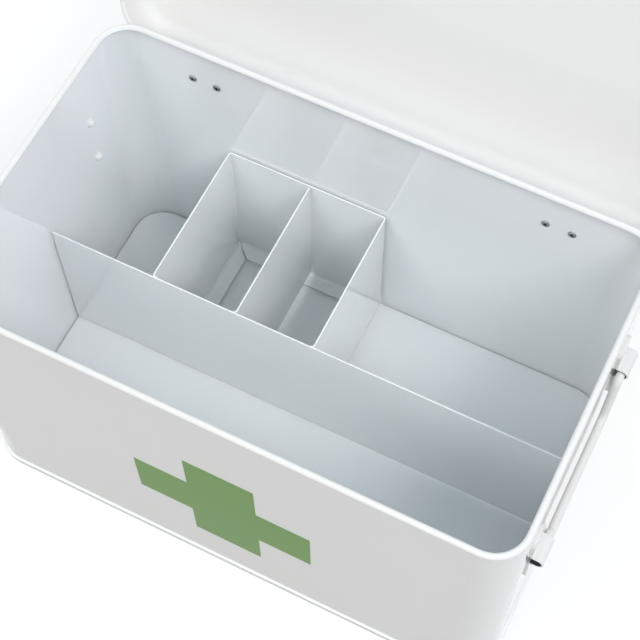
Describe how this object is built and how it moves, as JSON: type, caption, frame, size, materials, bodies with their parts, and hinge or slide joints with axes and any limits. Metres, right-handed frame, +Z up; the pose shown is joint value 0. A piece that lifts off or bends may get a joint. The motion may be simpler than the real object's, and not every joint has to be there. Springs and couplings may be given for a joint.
{
  "type": "medicine box",
  "caption": "White sheet steel medicine box with a hinged lid, a swinging bail handle on each end and welded inner dividers.",
  "frame": {"origin": "on the ground, under the middle of the body", "axes": "+X to the right along the front, +Y from the front to the hinges, +Z up"},
  "size_m": [0.3354, 0.2939, 0.357],
  "materials": {
    "white_enamel": "satin",
    "bare_steel": "satin"
  },
  "bodies": {
    "box": {"body_wall": "white_enamel", "base_pan": "white_enamel", "insert_partition": "white_enamel", "insert_tray": "white_enamel", "insert_middle_divider": "white_enamel", "hinge_left_body_leaf": "white_enamel", "hinge_left_pin": "white_enamel", "hinge_left_inner_rivet": "bare_steel", "hinge_left_outer_rivet": "bare_steel", "hinge_right_body_leaf": "white_enamel", "hinge_right_pin": "white_enamel", "hinge_right_inner_rivet": "bare_steel", "hinge_right_outer_rivet": "bare_steel", "handle_left_front_saddle": "white_enamel", "handle_left_front_lower_rivet": "white_enamel", "handle_left_front_upper_rivet": "white_enamel", "handle_left_rear_saddle": "white_enamel", "handle_left_rear_lower_rivet": "white_enamel", "handle_left_rear_upper_rivet": "white_enamel", "handle_right_front_saddle": "white_enamel", "handle_right_front_lower_rivet": "white_enamel", "handle_right_front_upper_rivet": "white_enamel", "handle_right_rear_saddle": "white_enamel", "handle_right_rear_lower_rivet": "white_enamel", "handle_right_rear_upper_rivet": "white_enamel"},
    "lid": {"lid_shell": "white_enamel", "hinge_left_lid_leaf": "white_enamel", "hinge_right_lid_leaf": "white_enamel"},
    "handle_left": {"handle_left_bail": "white_enamel"},
    "handle_right": {"handle_right_bail": "white_enamel"}
  },
  "joints": [
    {"name": "lid_hinge", "type": "hinge", "parent": "box", "child": "lid", "pos_m": [0, 0.09895, 0.17495], "axis": [-1, 0, 0], "range_deg": [-113, 0]},
    {"name": "left_bail_pivot", "type": "hinge", "parent": "box", "child": "handle_left", "pos_m": [-0.1637, 0, 0.132], "axis": [0, 1, 0], "range_deg": [0, 180]},
    {"name": "right_bail_pivot", "type": "hinge", "parent": "box", "child": "handle_right", "pos_m": [0.1637, 0, 0.132], "axis": [0, -1, 0], "range_deg": [0, 180]}
  ]
}
